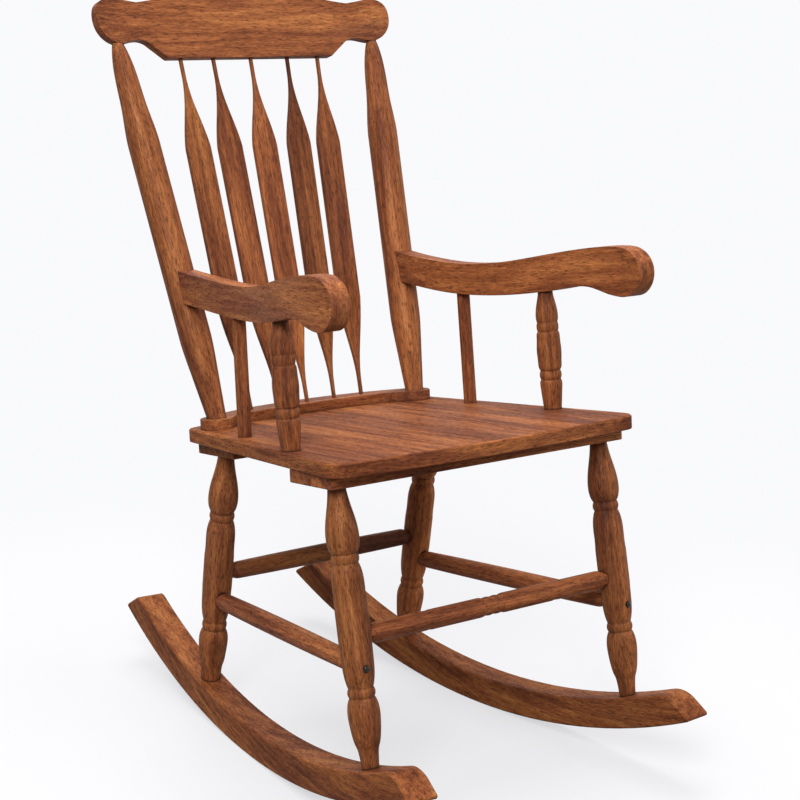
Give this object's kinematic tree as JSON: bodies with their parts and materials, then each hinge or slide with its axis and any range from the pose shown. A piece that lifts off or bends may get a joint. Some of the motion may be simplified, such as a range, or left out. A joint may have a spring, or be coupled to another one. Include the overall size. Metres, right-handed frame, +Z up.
{
  "type": "rocking chair",
  "caption": "Wooden rocking chair with turned legs, curved arms, flat arrow spindles and a shaped crest rail.",
  "frame": {"origin": "on the floor, below the middle of the chair's box, midway between the rockers' tips", "axes": "+Z up, the sitter faces -Y, X = 0 is the plane of symmetry, -X is the sitter's right"},
  "size_m": [0.522, 0.8416, 1.0288],
  "materials": {
    "wood": "oiled reddish-brown hardwood with dark streaks, satin",
    "steel": "zinc-plated, slightly dulled"
  },
  "bodies": {
    "root": {"arm_bolts": "steel", "arm_left": "wood", "arm_post_left": "wood", "arm_post_right": "wood", "arm_right": "wood", "arm_support_left": "wood", "arm_support_right": "wood", "back_post_left": "wood", "back_post_right": "wood", "back_rail": "wood", "batten_front_board_1": "wood", "batten_front_board_2": "wood", "batten_rear_board_1": "wood", "batten_rear_board_2": "wood", "crest_rail": "wood", "leg_front_left": "wood", "leg_front_right": "wood", "leg_rear_left": "wood", "leg_rear_right": "wood", "rocker_left": "wood", "rocker_right": "wood", "seat_panel": "wood", "seat_screws": "steel", "spindle_1": "wood", "spindle_2": "wood", "spindle_3": "wood", "spindle_4": "wood", "spindle_5": "wood", "stretcher_bolts": "steel", "stretcher_front": "wood", "stretcher_rear": "wood", "stretcher_side_left": "wood", "stretcher_side_right": "wood"}
  },
  "joints": []
}
